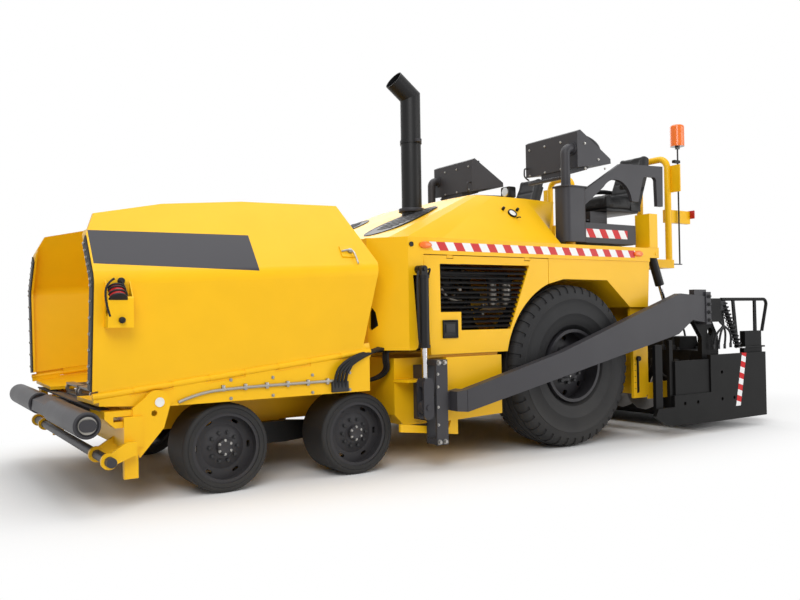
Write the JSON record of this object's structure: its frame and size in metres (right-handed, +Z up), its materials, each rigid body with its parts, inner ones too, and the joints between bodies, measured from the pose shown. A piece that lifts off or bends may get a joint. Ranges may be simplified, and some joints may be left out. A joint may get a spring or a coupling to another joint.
{
  "type": "wheeled asphalt paver",
  "caption": "Wheeled road paver with a folding front hopper, slat conveyors, swing-out operator stations and a rear screed on long tow arms.",
  "frame": {"origin": "middle of the machine's outline on the ground: half its length, half its width, tyre contact height", "axes": "+X the driving direction (hopper end), +Y the left side, +Z up"},
  "size_m": [7.29, 3.05, 3.5041],
  "materials": {
    "yellow_paint": "gloss chrome-yellow machine paint",
    "grey_paint": "satin dark grey paint",
    "black_paint": "satin black paint, oily",
    "rim_paint": "satin dark grey wheel paint",
    "tyre": "matt black rubber",
    "chrome_rod": "hard-chromed rods",
    "worn_steel": "worn steel",
    "seat_vinyl": "black seat vinyl",
    "amber_lens": "translucent amber"
  },
  "bodies": {
    "tractor": {"main_frame": "yellow_paint", "hopper_base": "yellow_paint", "push_beam": "yellow_paint", "truck_hitch": "grey_paint", "bogie_axle": "black_paint", "rear_wheel_drives": "black_paint", "engine_block": "black_paint", "side_boxes": "yellow_paint", "side_panels": "yellow_paint", "deck": "yellow_paint", "hood": "yellow_paint", "front_cowl": "yellow_paint", "exhaust_stack": "black_paint", "tow_guides": "grey_paint", "tow_barrels": "black_paint", "rear_body": "yellow_paint", "beacon": "amber_lens", "slat_conveyor": "worn_steel"},
    "wing_l": {"hopper_wing_l": "yellow_paint"},
    "roller_l": {"push_roller_l": "grey_paint"},
    "steer_f_l": {"knuckle_f_l": "black_paint"},
    "bogie_wheel_f_l": {"bogie_rim_f_l": "rim_paint", "bogie_tyre_f_l": "tyre"},
    "steer_m_l": {"knuckle_m_l": "black_paint"},
    "bogie_wheel_m_l": {"bogie_rim_m_l": "rim_paint", "bogie_tyre_m_l": "tyre"},
    "rear_wheel_l": {"rear_rim_l": "rim_paint", "rear_tyre_l": "tyre"},
    "door_l": {"engine_door_l": "yellow_paint"},
    "station_l": {"station_frame_l": "grey_paint", "station_console_l": "grey_paint", "station_seat_l": "seat_vinyl"},
    "tow_l": {"tow_block_l": "chrome_rod"},
    "wing_r": {"hopper_wing_r": "yellow_paint"},
    "roller_r": {"push_roller_r": "grey_paint"},
    "steer_f_r": {"knuckle_f_r": "black_paint"},
    "bogie_wheel_f_r": {"bogie_rim_f_r": "rim_paint", "bogie_tyre_f_r": "tyre"},
    "steer_m_r": {"knuckle_m_r": "black_paint"},
    "bogie_wheel_m_r": {"bogie_rim_m_r": "rim_paint", "bogie_tyre_m_r": "tyre"},
    "rear_wheel_r": {"rear_rim_r": "rim_paint", "rear_tyre_r": "tyre"},
    "door_r": {"engine_door_r": "yellow_paint"},
    "station_r": {"station_frame_r": "grey_paint", "station_console_r": "grey_paint", "station_seat_r": "seat_vinyl"},
    "tow_r": {"tow_block_r": "chrome_rod"},
    "screed": {"tow_arms": "grey_paint", "screed_frame": "black_paint"},
    "extension_l": {"screed_extension_l": "black_paint"},
    "walkway_l": {"walkway_l": "black_paint"},
    "auger_l": {"auger_l": "worn_steel"},
    "lift_barrel_l": {"lift_barrel_l": "black_paint"},
    "lift_rod_l": {"lift_rod_l": "chrome_rod"},
    "extension_r": {"screed_extension_r": "black_paint"},
    "walkway_r": {"walkway_r": "black_paint"},
    "auger_r": {"auger_r": "worn_steel"},
    "lift_barrel_r": {"lift_barrel_r": "black_paint"},
    "lift_rod_r": {"lift_rod_r": "chrome_rod"}
  },
  "joints": [
    {"name": "wing_fold_l", "type": "hinge", "parent": "tractor", "child": "wing_l", "pos_m": [3.49, 1.17, 0.735], "axis": [-0.9945, 0, 0.1045], "range_deg": [0, 45]},
    {"name": "roller_spin_l", "type": "hinge", "parent": "tractor", "child": "roller_l", "pos_m": [3.56, 0.835, 0.58], "axis": [0, 1, 0], "continuous": true},
    {"name": "steering_f_l", "type": "hinge", "parent": "tractor", "child": "steer_f_l", "pos_m": [2.58, 0.905, 0.316], "axis": [0, 0, 1], "range_deg": [-20, 20]},
    {"name": "bogie_spin_f_l", "type": "hinge", "parent": "steer_f_l", "child": "bogie_wheel_f_l", "pos_m": [2.58, 0.965, 0.316], "axis": [0, 1, 0], "continuous": true},
    {"name": "steering_m_l", "type": "hinge", "parent": "tractor", "child": "steer_m_l", "pos_m": [1.51, 0.905, 0.316], "axis": [0, 0, 1], "range_deg": [-13.4, 13.4]},
    {"name": "bogie_spin_m_l", "type": "hinge", "parent": "steer_m_l", "child": "bogie_wheel_m_l", "pos_m": [1.51, 0.965, 0.316], "axis": [0, 1, 0], "continuous": true},
    {"name": "rear_spin_l", "type": "hinge", "parent": "tractor", "child": "rear_wheel_l", "pos_m": [-0.7, 1.085, 0.745], "axis": [0, 1, 0], "continuous": true},
    {"name": "door_lift_l", "type": "hinge", "parent": "tractor", "child": "door_l", "pos_m": [0.265, 1.262, 1.702], "axis": [1, 0, 0], "range_deg": [0, 95]},
    {"name": "station_swing_l", "type": "hinge", "parent": "tractor", "child": "station_l", "pos_m": [-0.82, 1.15, 1.9], "axis": [0, 0, -1], "range_deg": [0, 60]},
    {"name": "tow_slide_l", "type": "slide", "parent": "tractor", "child": "tow_l", "axis": [0, 0, 1], "range_m": [-0.1, 0.15]},
    {"name": "wing_fold_r", "type": "hinge", "parent": "tractor", "child": "wing_r", "pos_m": [3.49, -1.17, 0.735], "axis": [0.9945, 0, -0.1045], "range_deg": [0, 45]},
    {"name": "roller_spin_r", "type": "hinge", "parent": "tractor", "child": "roller_r", "pos_m": [3.56, -0.835, 0.58], "axis": [0, 1, 0], "continuous": true},
    {"name": "steering_f_r", "type": "hinge", "parent": "tractor", "child": "steer_f_r", "pos_m": [2.58, -0.905, 0.316], "axis": [0, 0, 1], "range_deg": [-20, 20]},
    {"name": "bogie_spin_f_r", "type": "hinge", "parent": "steer_f_r", "child": "bogie_wheel_f_r", "pos_m": [2.58, -0.965, 0.316], "axis": [0, 1, 0], "continuous": true},
    {"name": "steering_m_r", "type": "hinge", "parent": "tractor", "child": "steer_m_r", "pos_m": [1.51, -0.905, 0.316], "axis": [0, 0, 1], "range_deg": [-13.4, 13.4]},
    {"name": "bogie_spin_m_r", "type": "hinge", "parent": "steer_m_r", "child": "bogie_wheel_m_r", "pos_m": [1.51, -0.965, 0.316], "axis": [0, 1, 0], "continuous": true},
    {"name": "rear_spin_r", "type": "hinge", "parent": "tractor", "child": "rear_wheel_r", "pos_m": [-0.7, -1.085, 0.745], "axis": [0, 1, 0], "continuous": true},
    {"name": "door_lift_r", "type": "hinge", "parent": "tractor", "child": "door_r", "pos_m": [0.265, -1.262, 1.702], "axis": [-1, 0, 0], "range_deg": [0, 95]},
    {"name": "station_swing_r", "type": "hinge", "parent": "tractor", "child": "station_r", "pos_m": [-0.82, -1.15, 1.9], "axis": [0, 0, 1], "range_deg": [0, 60]},
    {"name": "tow_slide_r", "type": "slide", "parent": "tractor", "child": "tow_r", "axis": [0, 0, 1], "range_m": [-0.1, 0.15]},
    {"name": "screed_lift", "type": "hinge", "parent": "tow_l", "child": "screed", "pos_m": [1.02, 0, 0.5], "axis": [0, -1, 0], "range_deg": [-2.5, 1.3]},
    {"name": "extension_slide_l", "type": "slide", "parent": "screed", "child": "extension_l", "axis": [0, 1, 0], "range_m": [0, 1.2]},
    {"name": "walkway_fold_l", "type": "hinge", "parent": "extension_l", "child": "walkway_l", "pos_m": [-3.322, 0.75, 0.28], "axis": [0, 1, 0], "range_deg": [0, 85]},
    {"name": "auger_spin_l", "type": "hinge", "parent": "tractor", "child": "auger_l", "pos_m": [-2.04, 0.66, 0.4], "axis": [0, 1, 0], "continuous": true},
    {"name": "lift_barrel_tilt_l", "type": "hinge", "parent": "tractor", "child": "lift_barrel_l", "pos_m": [-1.89, 1.2, 1.8], "axis": [0, 1, 0], "range_deg": [-1.5, 3]},
    {"name": "lift_rod_slide_l", "type": "slide", "parent": "lift_barrel_l", "child": "lift_rod_l", "axis": [-0.3714, 0, -0.9285], "range_m": [-0.18, 0.08]},
    {"name": "extension_slide_r", "type": "slide", "parent": "screed", "child": "extension_r", "axis": [0, -1, 0], "range_m": [0, 1.2]},
    {"name": "walkway_fold_r", "type": "hinge", "parent": "extension_r", "child": "walkway_r", "pos_m": [-3.322, -0.75, 0.28], "axis": [0, 1, 0], "range_deg": [0, 85]},
    {"name": "auger_spin_r", "type": "hinge", "parent": "tractor", "child": "auger_r", "pos_m": [-2.04, -0.66, 0.4], "axis": [0, 1, 0], "continuous": true},
    {"name": "lift_barrel_tilt_r", "type": "hinge", "parent": "tractor", "child": "lift_barrel_r", "pos_m": [-1.89, -1.2, 1.8], "axis": [0, 1, 0], "range_deg": [-1.5, 3]},
    {"name": "lift_rod_slide_r", "type": "slide", "parent": "lift_barrel_r", "child": "lift_rod_r", "axis": [-0.3714, 0, -0.9285], "range_m": [-0.18, 0.08]}
  ],
  "couplings": [
    {"joint": "lift_barrel_tilt_l", "follows": "screed_lift", "ratio": -0.86},
    {"joint": "lift_rod_slide_l", "follows": "screed_lift", "m_per_rad": 3.187},
    {"joint": "lift_barrel_tilt_r", "follows": "screed_lift", "ratio": -0.86},
    {"joint": "lift_rod_slide_r", "follows": "screed_lift", "m_per_rad": 3.187},
    {"joint": "steering_f_r", "follows": "steering_f_l", "ratio": 1},
    {"joint": "steering_m_l", "follows": "steering_f_l", "ratio": 0.67},
    {"joint": "steering_m_r", "follows": "steering_f_l", "ratio": 0.67},
    {"joint": "tow_slide_r", "follows": "tow_slide_l", "ratio": 1}
  ]
}
